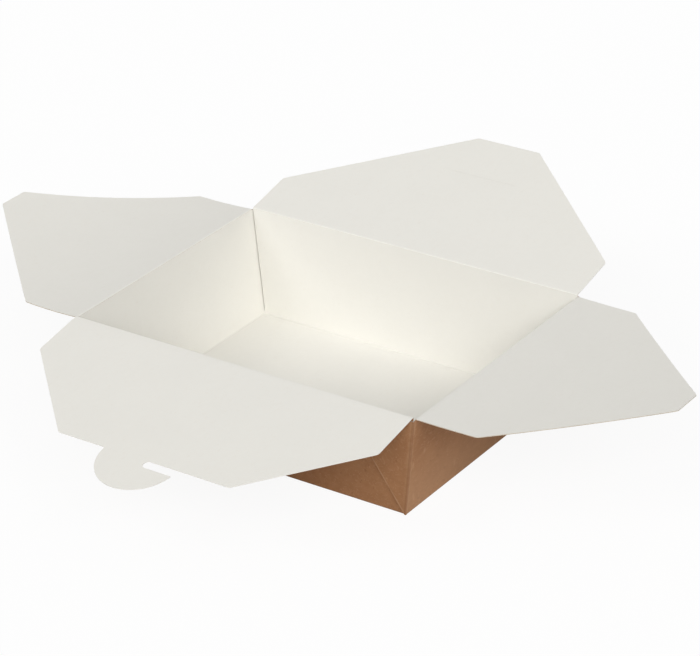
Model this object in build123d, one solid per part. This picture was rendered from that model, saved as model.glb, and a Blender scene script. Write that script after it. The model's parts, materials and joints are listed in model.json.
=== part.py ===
"""Folded paperboard takeaway box with four hinged closing flaps.

Frame: origin at the centre of the base's underside, +Z up, +X along the long side,
-Y towards the flap that carries the locking tab.  All sizes are in millimetres.
"""

from build123d import *
import math
import os

# --- the tray -----------------------------------------------------------------------
board = 0.45            # thickness of the paperboard
base_length = 193.0     # outer size of the base, along X
base_width = 146.0      # outer size of the base, along Y
rim_length = 215.0      # outer size of the rim, along X
rim_width = 160.0       # outer size of the rim, along Y
rim_height = 62.0       # height at which the rim sizes hold
crease_radius = 1.3     # outside radius of the folds round the base

# --- the creases that the flaps turn on ---------------------------------------------
flap_step = 0.65        # each crease stands this much above that of the flap that closes under it
end_crease_height = 61.2
back_crease_height = end_crease_height + flap_step
front_crease_height = back_crease_height + flap_step
root_radius = board / 2     # a flap's root is rounded about its crease
crease_gap = 0.2            # clearance between that root and the wall below it

# --- the folded gusset ears at the corners ------------------------------------------
ear_width = 46.0        # reach of an ear from its corner, measured along the rim
ear_top = 60.4          # the ears' cut edges stay below every flap's swing
ear_foot = 0.5          # the ears' points start just above the base
pocket_gap = 0.15       # gap between the two layers of an ear
slit_foot = 2.5         # a long wall's end leaves the end wall above this height
slit_gap = 0.45         # how far that end stands off the end wall
wrap_radius = 0.9       # rounding where an end wall turns into its ears
fold_radius = 0.5       # rounding of an ear's free folded edge
hairpin_radius = 0.35   # rounding of a long wall's end beside the slit

# --- the flaps ----------------------------------------------------------------------
end_flap_reach = 109.0
end_flap_shoulder = 35.3        # an end flap keeps its width as far out as this
end_flap_root_width = 157.6
end_flap_shoulder_width = 156.4
end_flap_tip_width = 19.0
left_flap_angle = -3.9          # slope of the flap at its crease, above the horizontal
left_flap_curl = 297.0          # radius to which the flap curls upwards
right_flap_angle = -1.5
right_flap_curl = 926.0

long_flap_width = 212.6
back_flap_reach = 106.0
back_flap_shoulder = 30.4
back_flap_tip_width = 40.4
back_flap_angle = 12.5
front_flap_reach = 83.8
front_flap_shoulder = 31.6
front_flap_tip_width = 106.4
front_flap_angle = -10.6
shoulder_rounding = 3.0
tip_rounding = 2.0

# --- the locking tab and its slit ---------------------------------------------------
tab_radius = 22.6           # the tab is a little more than half a disc
tab_offset = -0.9           # its centre, along X
tab_proud = 1.4             # how far its centre lies beyond the flap's edge
hook_slot_width = 5.2       # slot between the hook and the flap's edge
hook_slot_end = 2.8         # the slot's closed end, along X
hook_tip_rounding = 1.0
neck_rounding = 1.6         # hollow corner on the tab's plain side
slit_length = 48.0
slit_width = 0.3

end_lean = math.atan((rim_length - base_length) / 2 / rim_height)
side_lean = math.atan((rim_width - base_width) / 2 / rim_height)
clear_of_all = 100.0        # an offset that takes a cutting block well past the box
overlap = 1.0               # how far a cutting block reaches past the face that it cuts
close_by = 0.01             # places nearer than this count as the same


def half_length(height, offset=0.0):
    """Distance from the middle to an end wall's outer face, moved outwards by an offset."""
    return base_length / 2 + height * math.tan(end_lean) + offset / math.cos(end_lean)


def half_width(height, offset=0.0):
    """Distance from the middle to a long wall's outer face, moved outwards by an offset."""
    return base_width / 2 + height * math.tan(side_lean) + offset / math.cos(side_lean)


def wall_top(crease_height):
    """Height of the cut top of the wall under a crease."""
    return crease_height - root_radius - crease_gap


def tapered_block(foot, top, end_offset=0.0, side_offset=0.0):
    """Solid between two heights whose sides are the walls' outer faces, each moved outwards."""
    sections = [
        Pos(0, 0, height)
        * Rectangle(2 * half_length(height, end_offset), 2 * half_width(height, side_offset))
        for height in (foot, top)
    ]
    return loft(sections, ruled=True)


def open_shell():
    """Base and four walls of one thickness, with rounded folds round the base."""
    top = wall_top(front_crease_height)
    outside = tapered_block(0, top)
    outside = fillet(outside.edges().group_by(Axis.Z)[0], crease_radius)
    inside = tapered_block(board, top + overlap, -board, -board)
    inside = fillet(inside.edges().group_by(Axis.Z)[0], crease_radius - board)
    return outside - inside


def lowered_wall_tops():
    """Blocks that cut the end walls and the back wall down to their own creases."""
    rim_band = 4.0      # wider than a wall's section there
    tall = 10.0         # higher than the lowest wall's excess
    end_block = Box(rim_band, 2 * rim_width, tall, align=(Align.CENTER, Align.CENTER, Align.MIN))
    back_block = Box(2 * rim_length, rim_band, tall, align=(Align.CENTER, Align.CENTER, Align.MIN))
    end_x = half_length(rim_height) + rim_band / 2 - overlap
    back_y = half_width(rim_height) + rim_band / 2 - overlap
    left = Pos(-end_x, 0, wall_top(end_crease_height)) * end_block
    right = Pos(end_x, 0, wall_top(end_crease_height)) * end_block
    back = Pos(0, back_y, wall_top(back_crease_height)) * back_block
    return [left, right, back]


def ear_wedges(fold_inset=0.0):
    """Two prisms along Y that hold the ears at each end; fold_inset narrows them at the fold."""
    above_rim = 1.2     # the prisms' height, as a multiple of the rim's
    foot_x = base_length / 2 + fold_inset
    fold_run = rim_length / 2 - ear_width - base_length / 2
    outline = Polyline(
        (foot_x, 0),
        (foot_x + clear_of_all, 0),
        (foot_x + clear_of_all, rim_height * above_rim),
        (foot_x + fold_run * above_rim, rim_height * above_rim),
        close=True,
    )
    right = extrude(Plane.XZ * make_face(outline), amount=rim_width, both=True)
    return right + mirror(right, about=Plane.YZ)


def gusset_ears():
    """Corner webs folded flat onto the long walls, as solids two boards thick."""
    thickness = 2 * board + pocket_gap
    wrapped = tapered_block(ear_foot, ear_top, 0, thickness)
    corners = [edge for edge in wrapped.edges() if edge.bounding_box().size.Z > rim_height / 2]
    wrapped = fillet(corners, wrap_radius)
    layers = wrapped - tapered_block(0, rim_height, clear_of_all, -board / 2)
    ears = []
    for ear in (layers & ear_wedges()).solids():
        rising = [edge for edge in ear.edges() if edge.bounding_box().size.Z > rim_height / 2]
        inmost = sorted(rising, key=lambda edge: abs(edge.center().X))[:2]
        free_edge = max(inmost, key=lambda edge: abs(edge.center().Y))
        ears.append(fillet(free_edge, fold_radius))
    return ears


def ear_pockets():
    """Thin gaps between the two layers of the ears, open at the top and at the corner."""
    outer = tapered_block(slit_foot, rim_height, -board, board + pocket_gap)
    gap = outer - tapered_block(0, rim_height + overlap, clear_of_all, board)
    return gap & ear_wedges(fold_inset=board)


def corner_slits():
    """Thin gaps between the long walls' ends and the end walls, leading into the pockets."""
    outer = tapered_block(slit_foot, rim_height + overlap, -board, board + pocket_gap)
    above = rim_height + 2 * overlap
    gap = outer - tapered_block(0, above, -board - slit_gap, clear_of_all)
    inner_room = tapered_block(0, above, clear_of_all, -2 * board)
    return gap - inner_room


def hairpin_edges(tray):
    """Edges beside the corner slits, where a long wall folds back into its ears."""
    found = []
    for edge in tray.edges():
        middle = edge.center()
        if edge.bounding_box().size.Z < rim_height / 2:
            continue
        at_slit = abs(abs(middle.X) - half_length(middle.Z, -board - slit_gap)) < close_by
        inside = abs(abs(middle.Y) - half_width(middle.Z, -board)) < close_by
        in_pocket = abs(abs(middle.Y) - half_width(middle.Z, board)) < close_by
        if at_slit and (inside or in_pocket):
            found.append(edge)
    return found


def make_tray():
    """The folded sheet: base, four walls and four gusset ears."""
    tray = open_shell()
    for block in lowered_wall_tops():
        tray -= block
    for ear in gusset_ears():
        tray += ear
    tray -= ear_pockets()
    tray -= corner_slits()
    return fillet(hairpin_edges(tray), hairpin_radius)


def flap_section(reach, curl):
    """Section of a flap across its crease, rounded at the root and curled to a radius.

    The crease is at the origin and the flap runs out along the first axis.
    """
    half = board / 2
    if curl is None:
        sides = Polyline((0, half), (reach, half), (reach, -half), (0, -half))
        return make_face(sides + ThreePointArc((0, -half), (-half, 0), (0, half)))

    def on_curl(run, height):
        turn = run / curl
        radius = curl - height
        return (radius * math.sin(turn), curl - radius * math.cos(turn))

    upper = ThreePointArc(on_curl(0, half), on_curl(reach / 2, half), on_curl(reach, half))
    lower = ThreePointArc(on_curl(0, -half), on_curl(reach / 2, -half), on_curl(reach, -half))
    tip = Line(on_curl(reach, half), on_curl(reach, -half))
    root = ThreePointArc((0, half), (-half, 0), (0, -half))
    return make_face(upper + lower + tip + root)


def flap_outline(root_width, shoulder_width, shoulder, tip_width, reach):
    """Face of a flap's cut shape, symmetrical, from just inside its crease to its tip."""
    root = -2 * root_radius
    corners = [
        (root_width / 2, root),
        (shoulder_width / 2, shoulder),
        (tip_width / 2, reach),
        (-tip_width / 2, reach),
        (-shoulder_width / 2, shoulder),
        (-root_width / 2, root),
    ]
    face = make_face(Polyline(*corners, close=True))
    rows = face.vertices().group_by(Axis.Y)
    face = fillet(rows[1], shoulder_rounding)
    return fillet(face.vertices().group_by(Axis.Y)[-1], tip_rounding)


def cut_flap(outline, reach, curl=None):
    """Flap in its own frame: crease along X, running out along +Y, upper side +Z."""
    sheet = extrude(Plane.YZ * flap_section(reach, curl), amount=rim_length, both=True)
    return sheet & extrude(outline, amount=end_flap_reach, both=True)


def crease_point(outward, crease_height):
    """Middle of a crease, on the middle of the board's thickness."""
    if outward.X:
        run = half_length(crease_height, -board / 2)
    else:
        run = half_width(crease_height, -board / 2)
    return outward * run + Vector(0, 0, crease_height)


def hang_flap(flap, outward, crease_height, angle):
    """Place a flap on its crease, sloping by an angle above the horizontal."""
    up = Vector(0, 0, 1)
    crease = Plane(origin=crease_point(outward, crease_height), x_dir=outward.cross(up), z_dir=up)
    return crease.location * Rot(X=angle) * flap


def make_end_flap(outward, angle, curl):
    """Narrow-tipped flap on an end wall, curled to a radius."""
    shoulder = curl * math.sin(end_flap_shoulder / curl)
    reach = curl * math.sin(end_flap_reach / curl)
    outline = flap_outline(
        end_flap_root_width, end_flap_shoulder_width, shoulder, end_flap_tip_width, reach
    )
    flap = cut_flap(outline, end_flap_reach + board, curl)
    return hang_flap(flap, outward, end_crease_height, angle)


def make_back_flap():
    """Long flap with a slit that takes the locking tab."""
    outline = flap_outline(
        long_flap_width, long_flap_width, back_flap_shoulder, back_flap_tip_width, back_flap_reach
    )
    outward = Vector(0, 1, 0)
    across = 2 * half_width(front_crease_height, -board / 2)
    slit_run = across - front_flap_reach - hook_slot_width / 2
    slit = Pos(tab_offset, slit_run) * SlotOverall(slit_length, slit_width)
    flap = cut_flap(outline - slit, back_flap_reach)
    return hang_flap(flap, outward, back_crease_height, back_flap_angle)


def tab_outline():
    """Front flap's cut shape with the hooked tab, seen with the crease's X towards the left."""
    outline = flap_outline(
        long_flap_width, long_flap_width, front_flap_shoulder, front_flap_tip_width, front_flap_reach
    )
    disc = Pos(-tab_offset, front_flap_reach + tab_proud) * Circle(tab_radius)
    slot_length = 2 * tab_radius
    slot_middle = -hook_slot_end - slot_length / 2
    slot = Pos(slot_middle, front_flap_reach + hook_slot_width / 2)
    outline = outline + disc - slot * SlotOverall(slot_length, hook_slot_width)
    neck_run = math.sqrt(tab_radius**2 - tab_proud**2)
    neck = Vector(-tab_offset + neck_run, front_flap_reach)
    outline = fillet(nearest_vertex(outline, neck), neck_rounding)
    hook_run = math.sqrt(tab_radius**2 - (hook_slot_width - tab_proud) ** 2)
    hook_tip = Vector(-tab_offset - hook_run, front_flap_reach + hook_slot_width)
    return fillet(nearest_vertex(outline, hook_tip), hook_tip_rounding)


def nearest_vertex(face, point):
    """The face's corner nearest to a point in its plane."""
    return min(face.vertices(), key=lambda vertex: (Vector(vertex) - point).length)


def make_front_flap():
    """Long flap with the hooked locking tab on its tip."""
    flap = cut_flap(tab_outline(), front_flap_reach + tab_proud + tab_radius + board)
    return hang_flap(flap, Vector(0, -1, 0), front_crease_height, front_flap_angle)


def main():
    """Build every piece, write it out and print the creases that the joints use."""
    parts = {
        "tray": make_tray(),
        "left_flap": make_end_flap(Vector(-1, 0, 0), left_flap_angle, left_flap_curl),
        "right_flap": make_end_flap(Vector(1, 0, 0), right_flap_angle, right_flap_curl),
        "back_flap": make_back_flap(),
        "front_flap": make_front_flap(),
    }
    os.makedirs("parts", exist_ok=True)
    for name, part in parts.items():
        part.label = name
        export_step(part, f"parts/{name}.step")
        print(name, "volume", round(part.volume, 1), "solids", len(part.solids()))
    creases = {
        "left": (Vector(-1, 0, 0), end_crease_height),
        "right": (Vector(1, 0, 0), end_crease_height),
        "back": (Vector(0, 1, 0), back_crease_height),
        "front": (Vector(0, -1, 0), front_crease_height),
    }
    for name, (outward, height) in creases.items():
        print("crease", name, crease_point(outward, height))


main()
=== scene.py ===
"""Looks of a folded paperboard takeaway box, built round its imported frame.

The board is kraft brown outside and coated off-white on the food side.  The tray keeps its
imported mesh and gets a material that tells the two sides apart.  Each flap is modelled anew
as one sheet of board that runs over its crease onto the wall, so that the board stays whole
while the flap turns.
"""

from __future__ import annotations

import json
import logging
import math
from dataclasses import dataclass, field
from enum import Enum
from typing import Callable

import bpy
from mathutils import Matrix, Vector


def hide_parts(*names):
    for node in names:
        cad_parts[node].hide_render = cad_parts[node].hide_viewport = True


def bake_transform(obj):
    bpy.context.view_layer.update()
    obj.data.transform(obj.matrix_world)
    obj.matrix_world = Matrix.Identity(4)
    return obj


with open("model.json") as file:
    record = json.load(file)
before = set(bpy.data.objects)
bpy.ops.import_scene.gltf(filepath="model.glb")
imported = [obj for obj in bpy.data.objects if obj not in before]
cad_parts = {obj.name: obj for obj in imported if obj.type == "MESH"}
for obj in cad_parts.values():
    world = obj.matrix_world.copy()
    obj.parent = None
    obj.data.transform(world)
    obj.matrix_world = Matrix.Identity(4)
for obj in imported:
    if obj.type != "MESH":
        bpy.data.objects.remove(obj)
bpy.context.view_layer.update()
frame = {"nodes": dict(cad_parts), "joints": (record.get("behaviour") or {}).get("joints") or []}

LOG = logging.getLogger("takeaway_box")
MM = 0.001

BOARD = 0.45 * MM               # thickness of the paperboard
CREASE_GAP = 0.425 * MM         # from a crease's axis down to the cut top of its wall
FOLD_RADIUS = 0.325 * MM        # middle of the board round a crease
WRAP_RADIUS = 0.9 * MM          # outside of the board round the tray's folds
EAR_TOP = 60.4 * MM             # height of the gusset ears' cut edges
FOLD_STEPS = 8                  # rows of faces in a flap's fold
SMOOTH_ANGLE = math.radians(30) # edges that turn less than this are shaded smooth


class Side(Enum):
    """The two faces of the board and its cut edge, as places in a mesh's material list."""

    FOOD = 0
    KRAFT = 1
    CUT = 2


def srgb(red: int, green: int, blue: int) -> tuple[float, float, float, float]:
    """Turn a display colour into the linear colour that a shader socket takes.

    Args:
        red: Red from 0 to 255.
        green: Green from 0 to 255.
        blue: Blue from 0 to 255.

    Returns:
        Linear red, green, blue and an alpha of 1.
    """
    linear = []
    for level in (red, green, blue):
        share = level / 255
        linear.append(share / 12.92 if share <= 0.04045 else ((share + 0.055) / 1.055) ** 2.4)
    return (linear[0], linear[1], linear[2], 1.0)


# --- shader building ------------------------------------------------------------------


class Graph:
    """A node tree with short calls for the nodes that the board's finishes use."""

    def __init__(self, tree: bpy.types.NodeTree) -> None:
        """Keep the tree that nodes are added to.

        Args:
            tree: A material's or world's node tree, or a node group.
        """
        self.tree = tree

    def add(self, kind: str, **settings: object) -> bpy.types.Node:
        """Add a node.

        Args:
            kind: The node's type name.
            **settings: Properties to set on it.

        Returns:
            The new node.
        """
        node = self.tree.nodes.new(kind)
        for name, value in settings.items():
            setattr(node, name, value)
        return node

    def feed(self, socket: bpy.types.NodeSocket, value: object) -> None:
        """Link an output to a socket, or set the socket to a plain value.

        Args:
            socket: The input to feed.
            value: Another node's output, or a plain value.
        """
        if isinstance(value, bpy.types.NodeSocket):
            self.tree.links.new(value, socket)
        else:
            socket.default_value = value

    def math(self, operation: str, first: object, second: object = 0.0) -> bpy.types.NodeSocket:
        """Add a math node.

        Args:
            operation: The operation's name.
            first: The first value or output.
            second: The second value or output.

        Returns:
            The node's output.
        """
        node = self.add("ShaderNodeMath", operation=operation)
        self.feed(node.inputs[0], first)
        self.feed(node.inputs[1], second)
        return node.outputs[0]

    def ramp(self, value: object, low: float, high: float) -> bpy.types.NodeSocket:
        """Rise smoothly from 0 at low to 1 at high, also where low is above high.

        Args:
            value: The value or output to read.
            low: Where the result is 0.
            high: Where the result is 1.

        Returns:
            The result's output.
        """
        node = self.add("ShaderNodeMapRange", interpolation_type="SMOOTHSTEP")
        self.feed(node.inputs["Value"], value)
        start, end = (0.0, 1.0) if low < high else (1.0, 0.0)
        self.feed(node.inputs["From Min"], min(low, high))
        self.feed(node.inputs["From Max"], max(low, high))
        self.feed(node.inputs["To Min"], start)
        self.feed(node.inputs["To Max"], end)
        return node.outputs["Result"]

    def mix(self, share: object, first: object, second: object) -> bpy.types.NodeSocket:
        """Mix two colours.

        Args:
            share: How much of the second colour, from 0 to 1.
            first: The first colour.
            second: The second colour.

        Returns:
            The mixed colour's output.
        """
        node = self.add("ShaderNodeMix", data_type="RGBA")
        self.feed(node.inputs["Factor"], share)
        self.feed(node.inputs["A"], first)
        self.feed(node.inputs["B"], second)
        return node.outputs["Result"]

    def noise(self, vector: object, scale: float, detail: float = 2.0) -> bpy.types.NodeSocket:
        """Add a noise texture.

        Args:
            vector: The place to read it at.
            scale: Its scale.
            detail: Its number of finer layers.

        Returns:
            The noise's value.
        """
        node = self.add("ShaderNodeTexNoise")
        self.feed(node.inputs["Vector"], vector)
        self.feed(node.inputs["Scale"], scale)
        self.feed(node.inputs["Detail"], detail)
        return node.outputs["Fac"]

    def stretch(self, vector: object, scale: tuple[float, float, float],
                turn: tuple[float, float, float]) -> bpy.types.NodeSocket:
        """Turn a vector and scale its axes, to draw a pattern out along a direction.

        Args:
            vector: The place to change.
            scale: Scale along each axis.
            turn: Turn about each axis, in radians.

        Returns:
            The changed place.
        """
        node = self.add("ShaderNodeMapping")
        self.feed(node.inputs["Vector"], vector)
        self.feed(node.inputs["Scale"], scale)
        self.feed(node.inputs["Rotation"], turn)
        return node.outputs["Vector"]


def new_group(name: str, inputs: list[tuple[str, str, object]],
              outputs: list[tuple[str, str]]) -> tuple[Graph, bpy.types.Node, bpy.types.Node]:
    """Start a shader node group.

    Args:
        name: The group's name.
        inputs: Name, socket type and default of each input.
        outputs: Name and socket type of each output.

    Returns:
        The group's graph, its input node and its output node.
    """
    tree = bpy.data.node_groups.new(name, "ShaderNodeTree")
    for label, kind, default in inputs:
        socket = tree.interface.new_socket(label, in_out="INPUT", socket_type=kind)
        if default is not None:
            socket.default_value = default
    for label, kind in outputs:
        tree.interface.new_socket(label, in_out="OUTPUT", socket_type=kind)
    graph = Graph(tree)
    return graph, graph.add("NodeGroupInput"), graph.add("NodeGroupOutput")


def fibre_group() -> bpy.types.ShaderNodeTree:
    """Build the pulp group: short fibres, dark flecks, mottling and fine grain.

    Returns:
        The group's tree, with outputs Fibres, Flecks, Clouds and Grain, each about 0 to 1.
    """
    graph, given, made = new_group(
        "pulp_fibres",
        [("Vector", "NodeSocketVector", None)],
        [("Fibres", "NodeSocketFloat"), ("Flecks", "NodeSocketFloat"),
         ("Clouds", "NodeSocketFloat"), ("Grain", "NodeSocketFloat")],
    )
    place = given.outputs["Vector"]
    strands = None
    for turn, scale in ((0.4, 300.0), (1.5, 360.0), (2.5, 420.0)):
        drawn = graph.stretch(place, (1.0, 0.4, 1.0), (turn, turn * 0.7, turn))
        line = graph.math("ABSOLUTE", graph.math("SUBTRACT", graph.noise(drawn, scale, 1.0), 0.5))
        thin = graph.ramp(line, 0.03, 0.0)
        broken = graph.ramp(graph.noise(drawn, scale * 1.6, 0.0), 0.55, 0.66)
        piece = graph.math("MULTIPLY", thin, broken)
        strands = piece if strands is None else graph.math("MAXIMUM", strands, piece)
    long_flecks = graph.stretch(place, (1.0, 0.5, 0.8), (0.3, 0.2, 0.9))
    flecks = graph.ramp(graph.noise(long_flecks, 520.0, 1.0), 0.70, 0.78)
    fine = graph.noise(place, 260.0, 4.0)
    broad = graph.noise(place, 38.0, 3.0)
    clouds = graph.math("ADD", graph.math("MULTIPLY", fine, 0.45),
                        graph.math("MULTIPLY", broad, 0.55))
    graph.feed(made.inputs["Fibres"], strands)
    graph.feed(made.inputs["Flecks"], flecks)
    graph.feed(made.inputs["Clouds"], graph.ramp(clouds, 0.38, 0.62))
    graph.feed(made.inputs["Grain"], graph.noise(place, 1400.0, 2.0))
    return graph.tree


@dataclass(frozen=True)
class BoardFinish:
    """Colours and touch of one face of the board.

    Args:
        name: The material's name.
        base: The face's main colour.
        cloud: The colour of its slow variation.
        fibre: The colour of its fibres.
        fleck: The colour of its dark flecks.
        fibre_share: How strongly the fibres show.
        fleck_share: How strongly the flecks show.
        roughness: The surface's roughness.
        relief: Height of the fibres and grain in the bump, in metres.
    """

    name: str
    base: tuple[float, float, float, float]
    cloud: tuple[float, float, float, float]
    fibre: tuple[float, float, float, float]
    fleck: tuple[float, float, float, float]
    fibre_share: float
    fleck_share: float
    roughness: float
    relief: float

    def colour(self, graph: Graph, pulp: bpy.types.Node) -> bpy.types.NodeSocket:
        """Wire this face's colour.

        Args:
            graph: The material's graph.
            pulp: The pulp group's node.

        Returns:
            The colour's output.
        """
        ground = graph.mix(pulp.outputs["Clouds"], self.base, self.cloud)
        bright = graph.math("MULTIPLY", pulp.outputs["Fibres"], self.fibre_share)
        dark = graph.math("MULTIPLY", pulp.outputs["Flecks"], self.fleck_share)
        return graph.mix(dark, graph.mix(bright, ground, self.fibre), self.fleck)

    def height(self, graph: Graph, pulp: bpy.types.Node) -> bpy.types.NodeSocket:
        """Wire this face's relief.

        Args:
            graph: The material's graph.
            pulp: The pulp group's node.

        Returns:
            The relief, from 0 to 1.
        """
        fibres = graph.math("MULTIPLY", pulp.outputs["Fibres"], 0.6)
        return graph.math("ADD", graph.math("MULTIPLY", pulp.outputs["Grain"], 0.4), fibres)

    def material(self, pulp_tree: bpy.types.ShaderNodeTree) -> bpy.types.Material:
        """Build the material of this face alone.

        Args:
            pulp_tree: The pulp fibre group.

        Returns:
            The material.
        """
        material = bpy.data.materials.new(self.name)
        material.use_nodes = True
        graph = Graph(material.node_tree)
        shader = material.node_tree.nodes["Principled BSDF"]
        pulp = graph.add("ShaderNodeGroup", node_tree=pulp_tree)
        graph.feed(pulp.inputs["Vector"], graph.add("ShaderNodeTexCoord").outputs["Object"])
        graph.feed(shader.inputs["Base Color"], self.colour(graph, pulp))
        shader.inputs["Roughness"].default_value = self.roughness
        bump = graph.add("ShaderNodeBump")
        bump.inputs["Distance"].default_value = self.relief
        graph.feed(bump.inputs["Height"], self.height(graph, pulp))
        graph.feed(shader.inputs["Normal"], bump.outputs["Normal"])
        return material


COATED = BoardFinish(
    "coated_board", srgb(229, 227, 220), srgb(230, 228, 221), srgb(227, 223, 214),
    srgb(224, 219, 209), fibre_share=0.3, fleck_share=0.25, roughness=0.5, relief=0.00001,
)
KRAFT = BoardFinish(
    "kraft_board", srgb(154, 108, 70), srgb(162, 116, 77), srgb(188, 145, 108),
    srgb(122, 83, 53), fibre_share=0.35, fleck_share=0.45, roughness=0.85, relief=0.00005,
)
CUT_EDGE = BoardFinish(
    "cut_edge", srgb(190, 180, 163), srgb(198, 189, 173), srgb(208, 200, 185),
    srgb(164, 148, 126), fibre_share=0.5, fleck_share=0.3, roughness=0.9, relief=0.00004,
)
WORN_AND_LIT_KRAFT = srgb(190, 151, 116)    # pale kraft: wear on folds and knocks, painted light low on the end walls, partly painted highlight on the ears' folds
KRAFT_PAINTED_SHADE = srgb(118, 80, 50)   # painted shade on the kraft along a fold
COATED_PAINTED_SHADE = srgb(206, 203, 194)  # painted shade in the creases of the food side


class TrayPlaces:
    """Distances, wired once, that tell the tray's faces, folds and ears apart.

    Each attribute is a shader socket in metres, or a mask from 0 to 1.
    """

    def __init__(self, graph: Graph, place: bpy.types.NodeSocket, tray: Tray) -> None:
        """Wire the distances.

        Args:
            graph: The material's graph.
            place: The point, in the object's own coordinates.
            tray: The tray, for its sizes.
        """
        parts = graph.add("ShaderNodeSeparateXYZ")
        graph.feed(parts.inputs[0], place)
        self.height = parts.outputs["Z"]
        along = graph.math("ABSOLUTE", parts.outputs["X"])
        across = graph.math("ABSOLUTE", parts.outputs["Y"])
        self.end_gap = self.past_line(graph, along, tray.base_half[0], tray.rim_half[0], tray)
        self.side_gap = self.past_line(graph, across, tray.base_half[1], tray.rim_half[1], tray)
        self.past_fold = self.past_line(graph, along, tray.base_half[0],
                                        tray.rim_half[0] - tray.ear_reach, tray)
        on_ear = graph.math("MULTIPLY", graph.ramp(self.past_fold, 0.4 * MM, 0.6 * MM),
                            graph.ramp(self.height, EAR_TOP + 0.05 * MM, EAR_TOP - 0.05 * MM))
        cover = graph.math("MULTIPLY", on_ear, tray.ear_thickness)
        covered_gap = graph.math("SUBTRACT", self.side_gap, cover)
        below = graph.math("MULTIPLY", self.height, -1.0)
        past_middle = graph.add("ShaderNodeCombineXYZ")
        for socket, gap in zip(past_middle.inputs, (self.end_gap, covered_gap, below)):
            shifted = graph.math("ADD", gap, WRAP_RADIUS)
            graph.feed(socket, graph.math("MAXIMUM", shifted, 0.0))
        rounded = graph.add("ShaderNodeVectorMath", operation="LENGTH")
        graph.feed(rounded.inputs[0], past_middle.outputs["Vector"])
        self.outside = graph.math("SUBTRACT", rounded.outputs["Value"], WRAP_RADIUS)
        self.is_outer_layer = graph.ramp(self.side_gap, BOARD, 1.5 * BOARD)
        from_side = graph.math("SUBTRACT", tray.ear_thickness, self.side_gap)
        self.from_corner = graph.math("SUBTRACT", from_side, self.end_gap)

    def past_line(self, graph: Graph, run: bpy.types.NodeSocket, base: float, rim: float,
                  tray: Tray) -> bpy.types.NodeSocket:
        """Wire how far a point lies past a line that leans from the base's edge to the rim's.

        Args:
            graph: The material's graph.
            run: The point's distance from the middle, along X or Y.
            base: The line's distance from the middle at the base.
            rim: Its distance at the rim.
            tray: The tray, for its height.

        Returns:
            The distance in metres, square to the line.
        """
        slope = (rim - base) / tray.rim_height
        line = graph.math("ADD", graph.math("MULTIPLY", self.height, slope), base)
        return graph.math("MULTIPLY", graph.math("SUBTRACT", run, line),
                          math.cos(math.atan(slope)))


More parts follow.
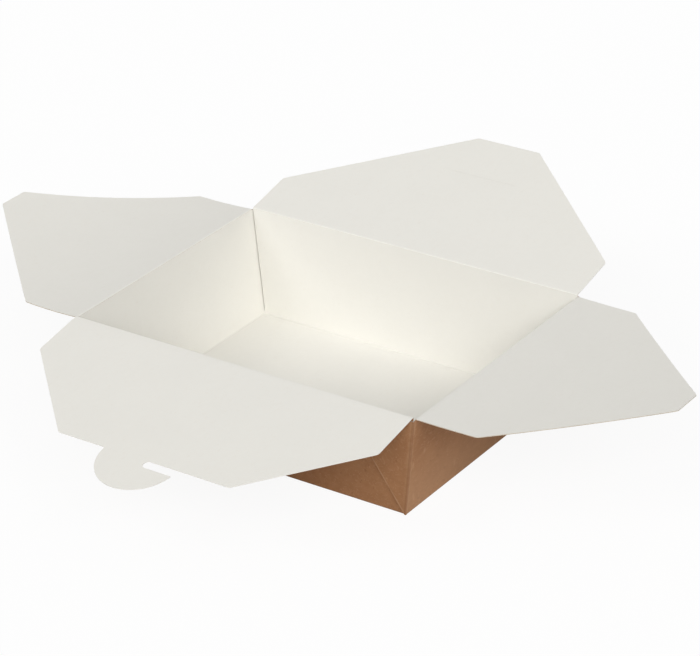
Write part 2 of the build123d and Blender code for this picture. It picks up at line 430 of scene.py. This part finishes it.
@dataclass
class Tray:
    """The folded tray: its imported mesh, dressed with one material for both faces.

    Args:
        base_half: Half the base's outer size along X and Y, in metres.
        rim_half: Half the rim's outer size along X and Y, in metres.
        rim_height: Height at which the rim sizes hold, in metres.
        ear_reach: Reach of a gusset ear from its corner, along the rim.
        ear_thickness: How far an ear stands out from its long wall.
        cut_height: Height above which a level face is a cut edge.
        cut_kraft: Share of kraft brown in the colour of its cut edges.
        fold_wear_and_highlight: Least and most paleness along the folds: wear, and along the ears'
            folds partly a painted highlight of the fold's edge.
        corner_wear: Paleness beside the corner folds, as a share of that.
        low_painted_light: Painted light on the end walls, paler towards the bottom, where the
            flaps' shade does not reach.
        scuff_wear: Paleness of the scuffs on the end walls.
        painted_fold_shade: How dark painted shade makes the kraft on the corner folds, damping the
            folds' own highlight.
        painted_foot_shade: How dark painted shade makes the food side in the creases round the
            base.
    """

    base_half: tuple[float, float] = (0.0965, 0.073)
    rim_half: tuple[float, float] = (0.1075, 0.08)
    rim_height: float = 0.062
    ear_reach: float = 0.046
    ear_thickness: float = 2 * BOARD + 0.15 * MM
    cut_height: float = 0.059
    cut_kraft: float = 0.6
    fold_wear_and_highlight: tuple[float, float] = (0.12, 0.44)
    corner_wear: float = 0.55
    low_painted_light: float = 0.42
    scuff_wear: float = 0.45
    painted_fold_shade: float = 0.5
    painted_foot_shade: float = 0.4

    def wear_and_painted_light(self, graph: Graph, places: TrayPlaces,
             place: bpy.types.NodeSocket) -> bpy.types.NodeSocket:
        """Wire the mask of pale kraft: wear along the outer folds and scuffs on the end walls,
        painted light low on the end walls, and a partly painted highlight along the ears' folds.

        Args:
            graph: The material's graph.
            places: The tray's wired distances.
            place: The point, in the object's own coordinates.

        Returns:
            The mask, from 0 to 1.
        """
        rim_of_base = graph.math("SUBTRACT", places.height,
                                 graph.math("MAXIMUM", places.end_gap, places.side_gap))
        upper = graph.math("ADD", graph.ramp(places.height, 15 * MM, 55 * MM), 0.3)
        by_corner = graph.ramp(places.from_corner, 3.4 * MM, 1.2 * MM)
        corner_fold = graph.math("MULTIPLY", by_corner, upper)
        folds = graph.math("MAXIMUM", graph.math("MULTIPLY", corner_fold, self.corner_wear),
                           graph.ramp(rim_of_base, 1.5 * MM, 0.4 * MM))
        # partly painted highlight: the pale line along the ears' folds stands for the fold's edge
        # catching light, as well as wear
        ear_fold_wear_and_highlight = graph.math("MULTIPLY", graph.ramp(places.past_fold, 1.0 * MM, 0.4 * MM),
                              places.is_outer_layer)
        lower = graph.math("ADD", graph.ramp(places.height, 42 * MM, 22 * MM), 0.4)
        folds = graph.math("MAXIMUM", folds, graph.math("MULTIPLY", ear_fold_wear_and_highlight, lower))
        patchy = graph.ramp(graph.noise(place, 130.0, 3.0), 0.36, 0.62)
        least, most = self.fold_wear_and_highlight
        uneven = graph.math("ADD", graph.math("MULTIPLY", patchy, most - least), least)
        folds = graph.math("MULTIPLY", folds, uneven)
        end_wall = graph.ramp(places.end_gap, -0.6 * BOARD, -0.3 * BOARD)
        # painted light: the end walls are painted paler towards the bottom, where the flaps' shade
        # does not reach
        low = graph.math("MULTIPLY", graph.ramp(places.height, 48 * MM, 2 * MM), self.low_painted_light)
        drawn = graph.stretch(place, (1.0, 1.0, 0.12), (0.5, 0.0, 0.0))
        streaks = graph.ramp(graph.noise(drawn, 420.0, 2.0), 0.60, 0.74)
        spread = graph.ramp(graph.noise(place, 55.0, 2.0), 0.46, 0.60)
        scuffs = graph.math("MULTIPLY", graph.math("MULTIPLY", streaks, spread), self.scuff_wear)
        rubbed_and_lit = graph.math("MULTIPLY", end_wall, graph.math("ADD", low, scuffs))
        return graph.math("MINIMUM", graph.math("ADD", folds, rubbed_and_lit), 1.0)

    def painted_crease_shade(self, graph: Graph, places: TrayPlaces) -> bpy.types.NodeSocket:
        """Wire the mask of painted shade in the board's creases round the base and on its corner
        folds.

        Args:
            graph: The material's graph.
            places: The tray's wired distances.

        Returns:
            The mask, from 0 to 1.
        """
        nearest = graph.math("MAXIMUM", places.end_gap, places.side_gap)
        # painted shade: the creases round the base, where the food side meets the walls
        foot = graph.math("MULTIPLY", graph.ramp(places.height, 1.5 * MM, 0.9 * MM),
                          graph.ramp(nearest, -1.5 * MM, -0.9 * MM))
        # painted shade: the corner folds, damping their own highlight
        fold = graph.ramp(places.from_corner, 1.3 * MM, 0.6 * MM)
        return graph.math("MAXIMUM", graph.math("MULTIPLY", foot, self.painted_foot_shade), fold)

    def material(self, pulp_tree: bpy.types.ShaderNodeTree) -> bpy.types.Material:
        """Build the tray's material: coated inside, kraft outside, greyish on cut edges.

        Args:
            pulp_tree: The pulp fibre group.

        Returns:
            The material.
        """
        material = bpy.data.materials.new("tray_board")
        material.use_nodes = True
        graph = Graph(material.node_tree)
        shader = material.node_tree.nodes["Principled BSDF"]
        place = graph.add("ShaderNodeTexCoord").outputs["Object"]
        pulp = graph.add("ShaderNodeGroup", node_tree=pulp_tree)
        graph.feed(pulp.inputs["Vector"], place)
        places = TrayPlaces(graph, place, self)
        is_kraft = graph.ramp(places.outside, -0.62 * BOARD, -0.38 * BOARD)
        # pale kraft: wear, with painted light low on the end walls and a partly painted highlight
        # on the ears' folds
        kraft = graph.mix(self.wear_and_painted_light(graph, places, place), KRAFT.colour(graph, pulp), WORN_AND_LIT_KRAFT)
        painted_crease_shade = self.painted_crease_shade(graph, places)
        # painted shade darkens the kraft in the creases and on the corner folds
        painted_kraft_shade = graph.math("MULTIPLY", painted_crease_shade, self.painted_fold_shade)
        kraft = graph.mix(painted_kraft_shade, kraft, KRAFT_PAINTED_SHADE)
        # painted shade darkens the food side in the creases and on the corner folds
        coated = graph.mix(painted_crease_shade, COATED.colour(graph, pulp), COATED_PAINTED_SHADE)
        colour = graph.mix(is_kraft, coated, kraft)
        facing = graph.add("ShaderNodeSeparateXYZ")
        graph.feed(facing.inputs[0], graph.add("ShaderNodeNewGeometry").outputs["Normal"])
        level = graph.ramp(facing.outputs["Z"], 0.9, 0.98)
        high = graph.ramp(places.height, self.cut_height - MM, self.cut_height)
        is_cut = graph.math("MULTIPLY", level, high)
        cut = graph.mix(self.cut_kraft, CUT_EDGE.colour(graph, pulp), KRAFT.base)
        graph.feed(shader.inputs["Base Color"], graph.mix(is_cut, colour, cut))
        roughness = graph.add("ShaderNodeMapRange")
        graph.feed(roughness.inputs["Value"], is_kraft)
        graph.feed(roughness.inputs["To Min"], COATED.roughness)
        graph.feed(roughness.inputs["To Max"], KRAFT.roughness)
        graph.feed(shader.inputs["Roughness"], roughness.outputs["Result"])
        bump = graph.add("ShaderNodeBump")
        bump.inputs["Distance"].default_value = KRAFT.relief
        relief = KRAFT.height(graph, pulp)
        soft = graph.math("MULTIPLY", relief, COATED.relief / KRAFT.relief)
        height = graph.add("ShaderNodeMix", data_type="FLOAT")
        graph.feed(height.inputs["Factor"], is_kraft)
        graph.feed(height.inputs["A"], soft)
        graph.feed(height.inputs["B"], relief)
        graph.feed(bump.inputs["Height"], height.outputs["Result"])
        graph.feed(shader.inputs["Normal"], bump.outputs["Normal"])
        return material

    def dress(self, pulp_tree: bpy.types.ShaderNodeTree) -> None:
        """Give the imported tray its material."""
        node = frame["nodes"]["tray"]
        node.data.materials.clear()
        node.data.materials.append(self.material(pulp_tree))
        LOG.info("tray dressed")


# --- modelling by hand ----------------------------------------------------------------


def deselect() -> None:
    """Leave edit mode and deselect every object."""
    if bpy.context.object and bpy.context.object.mode != "OBJECT":
        bpy.ops.object.mode_set(mode="OBJECT")
    bpy.ops.object.select_all(action="DESELECT")


def only(piece: bpy.types.Object) -> bpy.types.Object:
    """Select one object alone and make it active.

    Args:
        piece: The object.

    Returns:
        The same object.
    """
    deselect()
    piece.select_set(True)
    bpy.context.view_layer.objects.active = piece
    return piece


def pick_edges(piece: bpy.types.Object, wanted: Callable[[list[Vector]], bool]) -> None:
    """Select only the edges whose two ends pass a test.

    Args:
        piece: The piece, in object mode.
        wanted: Test on an edge's two end points.
    """
    only(piece)
    mesh = piece.data
    for part in (mesh.polygons, mesh.vertices, mesh.edges):
        part.foreach_set("select", [False] * len(part))
    for edge in mesh.edges:
        if wanted([mesh.vertices[index].co for index in edge.vertices]):
            edge.select = True
            for index in edge.vertices:
                mesh.vertices[index].select = True


def apply_modifier(piece: bpy.types.Object, kind: str, **settings: object) -> None:
    """Add a modifier to a piece and apply it.

    Args:
        piece: The piece.
        kind: The modifier's type.
        **settings: Properties to set on it.
    """
    only(piece)
    modifier = piece.modifiers.new(kind.lower(), kind)
    for name, value in settings.items():
        setattr(modifier, name, value)
    bpy.ops.object.modifier_apply(modifier=modifier.name)


def combine(piece: bpy.types.Object, other: bpy.types.Object, operation: str) -> None:
    """Join, cut or trim a piece with another solid, which is used up.

    Args:
        piece: The piece that is kept.
        other: The other solid.
        operation: UNION, DIFFERENCE or INTERSECT.
    """
    apply_modifier(piece, "BOOLEAN", object=other, operation=operation, solver="EXACT",
                   material_mode="TRANSFER")
    bpy.data.objects.remove(other)


def block(low: Vector, high: Vector) -> bpy.types.Object:
    """Add a plain block, as a cutting tool.

    Args:
        low: Its lowest corner.
        high: Its highest corner.

    Returns:
        The block.
    """
    deselect()
    bpy.ops.mesh.primitive_cube_add(size=1.0, location=(low + high) / 2)
    tool = bpy.context.object
    tool.scale = high - low
    bpy.ops.object.transform_apply(location=True, rotation=False, scale=True)
    return tool


def disc(centre: Vector, radius: float, depth: float) -> bpy.types.Object:
    """Add an upright round block, as a cutting tool.

    Args:
        centre: Its middle.
        radius: Its radius.
        depth: Its height.

    Returns:
        The block.
    """
    deselect()
    bpy.ops.mesh.primitive_cylinder_add(vertices=96, radius=radius, depth=depth, location=centre)
    tool = bpy.context.object
    bpy.ops.object.transform_apply(location=True, rotation=False, scale=False)
    return tool


@dataclass
class FlapShape:
    """Cut shape of a flap, measured out from its crease, in metres.

    Args:
        root_width: Width at the crease.
        shoulder_width: Width at the shoulders, where the slanted sides start.
        shoulder: Distance of the shoulders from the crease.
        tip_width: Width of the tip.
        reach: Distance of the tip from the crease.
        shoulder_rounding: Radius at the shoulders.
        tip_rounding: Radius at the tip's corners.
    """

    root_width: float
    shoulder_width: float
    shoulder: float
    tip_width: float
    reach: float
    shoulder_rounding: float = 3.0 * MM
    tip_rounding: float = 2.0 * MM

    def die(self) -> bpy.types.Object:
        """Make the upright die that cuts this shape from a level sheet.

        Returns:
            A block whose sides stand on the shape's outline.
        """
        behind, tall = 20 * MM, 200 * MM
        tool = block(Vector((-self.root_width / 2, -behind, -tall)),
                     Vector((self.root_width / 2, self.reach, tall)))
        corners = [Vector((self.root_width / 2, 0.0)),
                   Vector((self.shoulder_width / 2, self.shoulder)),
                   Vector((self.tip_width / 2, self.reach))]
        bpy.ops.object.mode_set(mode="EDIT")
        for start, end in zip(corners, corners[1:]):
            if start.x == end.x:
                continue
            along = (end - start).normalized()
            for side in (-1, 1):
                bpy.ops.mesh.select_all(action="SELECT")
                bpy.ops.mesh.bisect(plane_co=(side * start.x, start.y, 0),
                                    plane_no=(side * along.y, -along.x, 0),
                                    use_fill=True, clear_outer=True, threshold=1e-6)
        bpy.ops.object.mode_set(mode="OBJECT")
        root, bend, tip = corners
        self.round_corners(tool, bend, (bend - root).angle(tip - bend), self.shoulder_rounding)
        self.round_corners(tool, tip, (tip - bend).angle(Vector((-1, 0))), self.tip_rounding)
        return tool

    def round_corners(self, tool: bpy.types.Object, corner: Vector, turn: float,
                      radius: float) -> None:
        """Round the die's two upright edges over a corner and over its mirror image.

        Args:
            tool: The die.
            corner: The corner, in the die's X and Y.
            turn: How far the outline turns there, in radians.
            radius: The rounding's radius.
        """
        pick_edges(tool, lambda ends: all(
            abs(abs(end.x) - corner.x) < 1e-5 and abs(end.y - corner.y) < 1e-5 for end in ends))
        bpy.ops.object.mode_set(mode="EDIT")
        bpy.ops.mesh.select_mode(type="EDGE")
        bpy.ops.mesh.bevel(offset=radius * math.tan(turn / 2), segments=5, affect="EDGES")
        bpy.ops.object.mode_set(mode="OBJECT")


@dataclass
class Flap:
    """One flap, modelled as a sheet that runs from its wall's top over the crease to its tip.

    It is built in the crease's own frame: the crease along X, outwards +Y and up +Z.

    Args:
        name: The flap's node name, which also starts its piece's name.
        outward: Direction from the box's middle to the flap.
        crease: Middle of the crease, in metres.
        wall_lean: How far the wall below leans out from upright, in radians.
        angle: Slope of the flap at its crease, in radians.
        shape: The flap's cut shape.
        curl: Radius of its upward curl, or None if it is flat.
        columns: How many columns the sheet is divided into.
        row: Spacing of its rows.
        finishes: Materials of the food side, the kraft side and the cut edge.
    """

    name: str
    outward: Vector
    crease: Vector
    wall_lean: float
    angle: float
    shape: FlapShape
    curl: float | None = None
    columns: int = 48
    row: float = 3.0 * MM
    finishes: list[bpy.types.Material] = field(default_factory=list)

    def extra_reach(self) -> float:
        """Return the length of sheet needed beyond the tip's edge."""
        return 2 * MM

    def slope_point(self, run: float) -> Vector:
        """Find a point on the middle of the flap.

        Args:
            run: Its distance from the crease's axis, along the flap.

        Returns:
            The point, in the crease's frame.
        """
        if self.curl is None:
            return Vector((0, run * math.cos(self.angle), run * math.sin(self.angle)))
        turn = run / self.curl
        start = Vector((0, math.cos(self.angle), math.sin(self.angle)))
        rise = Vector((0, -math.sin(self.angle), math.cos(self.angle)))
        return start * self.curl * math.sin(turn) + rise * self.curl * (1 - math.cos(turn))

    def path(self) -> list[Vector]:
        """List points along the middle of the sheet, from the wall's cut top to past the tip."""
        wall = Vector((0, -math.sin(self.wall_lean), -math.cos(self.wall_lean)))
        start_angle = math.pi / 2 - self.wall_lean
        turn = start_angle - self.angle
        tangent = FOLD_RADIUS * math.tan(turn / 2)
        foot = wall * (CREASE_GAP / math.cos(self.wall_lean))
        bend_start = wall * min(tangent, CREASE_GAP)
        inward = Vector((0, math.sin(start_angle), -math.cos(start_angle)))
        centre = bend_start + inward * FOLD_RADIUS
        points = [foot]
        for step in range(FOLD_STEPS + 1):
            heading = start_angle - turn * step / FOLD_STEPS
            out = Vector((0, -math.sin(heading), math.cos(heading)))
            points.append(centre + out * FOLD_RADIUS)
        rows = math.ceil((self.shape.reach + self.extra_reach()) / self.row)
        for index in range(1, rows + 1):
            points.append(self.slope_point(tangent + index * self.row))
        return points

    def sheet(self) -> bpy.types.Object:
        """Draw the sheet out along its path and give it the board's thickness.

        Returns:
            The sheet, in the crease's frame.
        """
        points = self.path()
        deselect()
        first, second = points[0], points[1]
        bpy.ops.mesh.primitive_grid_add(x_subdivisions=self.columns, y_subdivisions=1, size=1.0)
        piece = bpy.context.object
        piece.name = f"{self.name}_board"
        width = self.shape.root_width + 2 * MM
        for vertex in piece.data.vertices:
            end = first if vertex.co.y < 0 else second
            vertex.co = Vector((vertex.co.x * width, end.y, end.z))
        pick_edges(piece, lambda ends: all(
            (end - Vector((end.x, second.y, second.z))).length < 1e-6 for end in ends))
        bpy.ops.object.mode_set(mode="EDIT")
        bpy.ops.mesh.select_mode(type="EDGE")
        for before, after in zip(points[1:], points[2:]):
            step = after - before
            bpy.ops.mesh.extrude_region_move(TRANSFORM_OT_translate={"value": step})
        bpy.ops.mesh.select_all(action="SELECT")
        bpy.ops.mesh.normals_make_consistent(inside=False)
        bpy.ops.object.mode_set(mode="OBJECT")
        middle = piece.data.polygons[len(piece.data.polygons) // 2]
        if middle.normal.z < 0:
            bpy.ops.object.mode_set(mode="EDIT")
            bpy.ops.mesh.select_all(action="SELECT")
            bpy.ops.mesh.flip_normals()
            bpy.ops.object.mode_set(mode="OBJECT")
        for finish in self.finishes:
            piece.data.materials.append(finish)
        apply_modifier(piece, "SOLIDIFY", thickness=BOARD, offset=0.0, use_even_offset=True,
                       material_offset=Side.KRAFT.value, material_offset_rim=Side.CUT.value)
        return piece

    def die(self) -> bpy.types.Object:
        """Make the tool that holds all of the flap's cut shape, standing on a level flap."""
        return self.shape.die()

    def place(self, piece: bpy.types.Object) -> None:
        """Move a finished piece from the crease's frame into the box's.

        Args:
            piece: The piece.
        """
        up = Vector((0, 0, 1))
        across = self.outward.cross(up)
        turn = Matrix((across, self.outward, up)).transposed().to_4x4()
        piece.data.transform(Matrix.Translation(self.crease) @ turn)

    def build(self) -> bpy.types.Object:
        """Model the flap, put it in place and hide the imported part it replaces.

        Returns:
            The finished piece.
        """
        piece = self.sheet()
        tool = self.die()
        tool.data.transform(Matrix.Rotation(self.angle, 4, "X"))
        tool.data.materials.append(self.finishes[Side.CUT.value])
        combine(piece, tool, "INTERSECT")
        self.place(piece)
        only(piece)
        bpy.ops.object.shade_smooth_by_angle(angle=SMOOTH_ANGLE)
        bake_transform(piece)
        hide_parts(self.name)
        LOG.info("%s: %d faces", piece.name, len(piece.data.polygons))
        return piece


@dataclass
class TabFlap(Flap):
    """The front flap, with the hooked locking tab on its tip.

    Args:
        tab_radius: Radius of the tab's disc.
        tab_offset: Its centre, along the crease frame's X.
        tab_proud: How far its centre lies beyond the flap's edge.
        slot_width: Width of the slot behind the hook.
        slot_end: The slot's closed end, along the crease frame's X.
        neck_rounding: Radius of the hollow corner on the tab's plain side.
    """

    tab_radius: float = 22.6 * MM
    tab_offset: float = 0.9 * MM
    tab_proud: float = 1.4 * MM
    slot_width: float = 5.2 * MM
    slot_end: float = -2.8 * MM
    neck_rounding: float = 1.6 * MM

    def extra_reach(self) -> float:
        """Return the length of sheet needed beyond the tip's edge."""
        return self.tab_proud + self.tab_radius + 2 * MM

    def die(self) -> bpy.types.Object:
        """Make the flap's die, with the tab's disc added and its slot taken out."""
        tool = self.shape.die()
        tip = self.shape.reach
        tall = 400 * MM
        centre = Vector((self.tab_offset, tip + self.tab_proud, 0))
        combine(tool, disc(centre, self.tab_radius, tall), "UNION")
        neck_run = math.sqrt(self.tab_radius**2 - self.tab_proud**2)
        neck = Vector((self.tab_offset + neck_run, tip, 0))
        past = Vector((self.neck_rounding, self.neck_rounding, 0))
        upright = Vector((0, 0, tall / 2))
        web = block(neck - Vector((MM, MM, 0)) - upright, neck + past + upright)
        combine(web, disc(neck + past, self.neck_rounding, tall * 1.1), "DIFFERENCE")
        combine(tool, web, "UNION")
        slot_root = self.slot_end - self.slot_width / 2
        round_end = Vector((slot_root, tip + self.slot_width / 2, 0))
        combine(tool, disc(round_end, self.slot_width / 2, tall * 1.1), "DIFFERENCE")
        past_disc = -60 * MM
        slot = block(Vector((past_disc, tip, -tall)),
                     Vector((slot_root, tip + self.slot_width, tall)))
        combine(tool, slot, "DIFFERENCE")
        return tool


@dataclass
class SlitFlap(Flap):
    """The back flap, with the fine slit that takes the locking tab.

    Args:
        slit_run: Distance of the slit from the crease.
        slit_middle: Middle of the slit, along the crease frame's X.
        slit_length: Length of the slit.
        slit_width: Width of the slit.
    """

    slit_run: float = 73.2 * MM
    slit_middle: float = -0.9 * MM
    slit_length: float = 48.0 * MM
    slit_width: float = 0.1 * MM

    def die(self) -> bpy.types.Object:
        """Make the flap's die, with the slit taken out."""
        tool = self.shape.die()
        half = Vector((self.slit_length / 2, self.slit_width / 2, 300 * MM))
        centre = Vector((self.slit_middle, self.slit_run, 0))
        combine(tool, block(centre - half, centre + half), "DIFFERENCE")
        return tool


# --- the studio -----------------------------------------------------------------------


@dataclass(frozen=True)
class Lamp:
    """A far, broad soft lamp.

    Args:
        name: The lamp's name.
        azimuth: The side it shines from, in degrees, counted as the camera's.
        elevation: Its height angle, in degrees.
        strength: Its strength, in watts per square metre.
        spread: How broad it looks from the box, in degrees.
    """

    name: str
    azimuth: float
    elevation: float
    strength: float
    spread: float = 30.0


@dataclass
class Studio:
    """Floor, lamps, world and camera.

    Args:
        azimuth: The camera's turn round the box, in degrees; 0 looks along +Y.
        elevation: Its height angle, in degrees.
        roll: Its turn about its own line of sight, in degrees.
        distance: Its distance from the point it looks at, in metres.
        aim: The point it looks at, in metres.
        lens: Its focal length, in millimetres.
        floor_glow: Share of plain white in what the camera sees of the floor.
        floor_lit: Grey of the floor that lights the box from below.
        floor_seen: Grey of the floor that the camera sees.
        sky: Strength of the even light from all round.
        lamps: The lamps.
    """

    azimuth: float = 35.0
    elevation: float = 27.17
    roll: float = -1.7
    distance: float = 1.65
    aim: Vector = field(default_factory=lambda: Vector((0.0074, 0.0094, 0.0466)))
    lens: float = 159.2
    floor_glow: float = 0.92
    floor_lit: float = 0.75
    floor_seen: float = 0.97
    sky: float = 0.25
    lamps: tuple[Lamp, ...] = (
        Lamp("key", azimuth=31.0, elevation=34.0, strength=1.31),
        Lamp("left_fill", azimuth=-30.0, elevation=40.0, strength=0.97),
        Lamp("right_fill", azimuth=70.0, elevation=35.0, strength=1.0),
    )

    @staticmethod
    def sight(azimuth: float, elevation: float) -> Vector:
        """Find the direction from a place round the box towards it.

        Args:
            azimuth: The place's turn round the box, in degrees; 0 looks along +Y.
            elevation: Its height angle, in degrees.

        Returns:
            The direction, of length 1.
        """
        turn, rise = math.radians(azimuth), math.radians(elevation)
        return Vector((-math.sin(turn) * math.cos(rise), math.cos(turn) * math.cos(rise),
                       -math.sin(rise)))

    def camera(self) -> None:
        """Add the camera."""
        sight = self.sight(self.azimuth, self.elevation)
        data = bpy.data.cameras.new("camera")
        data.lens = self.lens
        data.sensor_width = 36.0
        camera = bpy.data.objects.new("camera", data)
        bpy.context.scene.collection.objects.link(camera)
        facing = sight.to_track_quat("-Z", "Y").to_matrix()
        rolled = facing @ Matrix.Rotation(math.radians(self.roll), 3, "Z")
        camera.matrix_world = Matrix.Translation(self.aim - sight * self.distance) @ rolled.to_4x4()
        bpy.context.scene.camera = camera

    @staticmethod
    def seen_rays(graph: Graph) -> bpy.types.NodeSocket:
        """Wire a mask of the rays that show the backdrop: straight, mirrored or let through.

        Args:
            graph: The material's or world's graph.

        Returns:
            The mask.
        """
        seen = graph.add("ShaderNodeLightPath")
        shown = graph.math("MAXIMUM", seen.outputs["Is Camera Ray"], seen.outputs["Is Glossy Ray"])
        return graph.math("MAXIMUM", shown, seen.outputs["Is Transmission Ray"])

    def world(self) -> None:
        """Light everything softly from all round, with a white background for the camera."""
        world = bpy.data.worlds.new("studio")
        world.use_nodes = True
        graph = Graph(world.node_tree)
        world.node_tree.nodes.clear()
        light = graph.add("ShaderNodeBackground")
        light.inputs["Color"].default_value = (1.0, 1.0, 1.0, 1.0)
        light.inputs["Strength"].default_value = self.sky
        white = graph.add("ShaderNodeBackground")
        white.inputs["Color"].default_value = (1.0, 1.0, 1.0, 1.0)
        either = graph.add("ShaderNodeMixShader")
        graph.feed(either.inputs["Fac"], self.seen_rays(graph))
        graph.feed(either.inputs[1], light.outputs[0])
        graph.feed(either.inputs[2], white.outputs[0])
        out = graph.add("ShaderNodeOutputWorld")
        graph.feed(out.inputs["Surface"], either.outputs[0])
        bpy.context.scene.world = world

    def light(self) -> None:
        """Add the lamps."""
        for lamp in self.lamps:
            data = bpy.data.lights.new(lamp.name, "SUN")
            data.angle = math.radians(lamp.spread)
            data.energy = lamp.strength
            sun = bpy.data.objects.new(lamp.name, data)
            bpy.context.scene.collection.objects.link(sun)
            facing = self.sight(lamp.azimuth, lamp.elevation).to_track_quat("-Z", "Y")
            sun.matrix_world = facing.to_matrix().to_4x4()

    def floor(self) -> None:
        """Add the plain floor: white to the camera, with a light soft shadow of the box."""
        deselect()
        bpy.ops.mesh.primitive_plane_add(size=12.0, location=(0, 0, -0.2 * MM))
        floor = bpy.context.object
        floor.name = "floor"
        material = bpy.data.materials.new("white_floor")
        material.use_nodes = True
        graph = Graph(material.node_tree)
        shader = material.node_tree.nodes["Principled BSDF"]
        lit, seen = ((grey, grey, grey, 1.0) for grey in (self.floor_lit, self.floor_seen))
        graph.feed(shader.inputs["Base Color"], graph.mix(self.seen_rays(graph), lit, seen))
        shader.inputs["Roughness"].default_value = 0.9
        shader.inputs["Specular IOR Level"].default_value = 0.0
        white = graph.add("ShaderNodeEmission")
        white.inputs["Strength"].default_value = 1.0
        share = graph.math("MULTIPLY", self.seen_rays(graph), self.floor_glow)
        shown = graph.add("ShaderNodeMixShader")
        graph.feed(shown.inputs["Fac"], share)
        graph.feed(shown.inputs[1], shader.outputs[0])
        graph.feed(shown.inputs[2], white.outputs[0])
        out = material.node_tree.nodes["Material Output"]
        graph.feed(out.inputs["Surface"], shown.outputs[0])
        floor.data.materials.append(material)

    def build(self) -> None:
        """Set up the whole studio."""
        bpy.context.scene.view_settings.view_transform = "Standard"
        self.camera()
        self.world()
        self.floor()
        self.light()


def flaps(finishes: list[bpy.types.Material]) -> list[Flap]:
    """List the four flaps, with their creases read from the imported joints.

    Args:
        finishes: Materials of the food side, the kraft side and the cut edge.

    Returns:
        The flaps, ready to build.
    """
    creases = {joint["child"]: Vector(joint["pos_m"]) for joint in frame["joints"]}
    tray = Tray()
    end_lean, side_lean = (math.atan((rim - base) / tray.rim_height)
                           for rim, base in zip(tray.rim_half, tray.base_half))

    def end_shape(curl: float) -> FlapShape:
        shoulder = curl * math.sin(35.3 * MM / curl)
        reach = curl * math.sin(109.0 * MM / curl)
        return FlapShape(157.6 * MM, 156.4 * MM, shoulder, 19.0 * MM, reach)

    left_curl, right_curl = 0.297, 0.926
    return [
        Flap("left_flap", Vector((-1, 0, 0)), creases["left_flap"], end_lean,
             math.radians(-3.9), end_shape(left_curl), left_curl, finishes=finishes),
        Flap("right_flap", Vector((1, 0, 0)), creases["right_flap"], end_lean,
             math.radians(-1.5), end_shape(right_curl), right_curl, finishes=finishes),
        SlitFlap("back_flap", Vector((0, 1, 0)), creases["back_flap"], side_lean,
                 math.radians(12.5),
                 FlapShape(212.6 * MM, 212.6 * MM, 30.4 * MM, 40.4 * MM, 106.0 * MM),
                 finishes=finishes),
        TabFlap("front_flap", Vector((0, -1, 0)), creases["front_flap"], side_lean,
                math.radians(-10.6),
                FlapShape(212.6 * MM, 212.6 * MM, 31.6 * MM, 106.4 * MM, 83.8 * MM),
                finishes=finishes),
    ]


def main() -> None:
    """Build the box's looks and the studio round them."""
    logging.basicConfig(level=logging.INFO, format="%(name)s: %(message)s")
    pulp_tree = fibre_group()
    finishes = [finish.material(pulp_tree) for finish in (COATED, KRAFT, CUT_EDGE)]
    Tray().dress(pulp_tree)
    for flap in flaps(finishes):
        flap.build()
    Studio().build()


if __name__ == "__main__":
    main()
